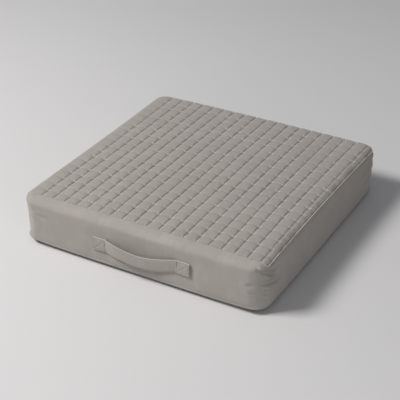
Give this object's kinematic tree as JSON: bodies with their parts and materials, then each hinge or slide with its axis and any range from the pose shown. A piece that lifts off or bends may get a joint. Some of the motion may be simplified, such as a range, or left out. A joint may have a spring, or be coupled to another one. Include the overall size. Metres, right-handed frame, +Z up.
{
  "type": "chair seat pad",
  "caption": "Square box-shaped booster seat pad: a foam block in a zipped fabric cover with a quilted top and a carry strap on the front.",
  "frame": {"origin": "centre of the pad's flat underside, the face it rests on", "axes": "+Z up from the underside to the quilted top, -Y out of the front face that carries the strap, +X to the right seen from the front"},
  "size_m": [0.5, 0.5168, 0.1008],
  "materials": {
    "cover_cloth": "taupe brushed velvet with a short pile, soft sheen at grazing angles",
    "base_cloth": "the same taupe cloth, plain and flat",
    "foam": "open-cell polyurethane seat foam, pale cream, matte",
    "wadding": "white bonded polyester wadding",
    "backing_cloth": "thin non-woven backing, off-white",
    "thread": "spun polyester sewing thread, tone on tone with the cloth",
    "zip_tape": "woven polyester zip tape, dark taupe",
    "zip_coil": "nylon monofilament coil, dark taupe",
    "zip_metal": "die-cast zinc with a dark taupe painted finish, satin",
    "label_tape": "white woven satin label tape, blank"
  },
  "bodies": {
    "pad": {"foam_core": "foam", "top_face_fabric": "cover_cloth", "quilt_wadding": "wadding", "quilt_backing": "backing_cloth", "quilting_rows_lengthwise": "thread", "quilting_rows_crosswise": "thread", "side_band": "cover_cloth", "back_band_upper": "cover_cloth", "back_band_lower": "cover_cloth", "bottom_panel": "base_cloth", "top_seam_thread": "thread", "bottom_seam_thread": "thread", "back_join_threads": "thread", "zip_tape_upper": "zip_tape", "zip_tape_lower": "zip_tape", "zip_coil_upper": "zip_coil", "zip_coil_lower": "zip_coil", "zip_top_stops": "zip_metal", "zip_bottom_stop": "zip_metal", "zip_topstitching": "thread", "handle_end_left": "cover_cloth", "handle_end_right": "cover_cloth", "handle_stitching_left": "thread", "handle_stitching_right": "thread", "care_label": "label_tape"},
    "slider": {"zip_slider": "zip_metal"},
    "pull_tab": {"zip_pull_tab": "zip_metal"},
    "strap": {"handle_strap": "cover_cloth"}
  },
  "joints": [
    {"name": "zip_slide", "type": "slide", "parent": "pad", "child": "slider", "axis": [-1, 0, 0], "range_m": [0, 0.41]},
    {"name": "pull_tab_swing", "type": "hinge", "parent": "slider", "child": "pull_tab", "pos_m": [0.205, 0.2529, 0.05], "axis": [0, 0, -1], "range_deg": [0, 175]},
    {"name": "handle_pull", "type": "slide", "parent": "pad", "child": "strap", "axis": [0, -0.53, 0.848], "range_m": [0, 0.00943]}
  ]
}
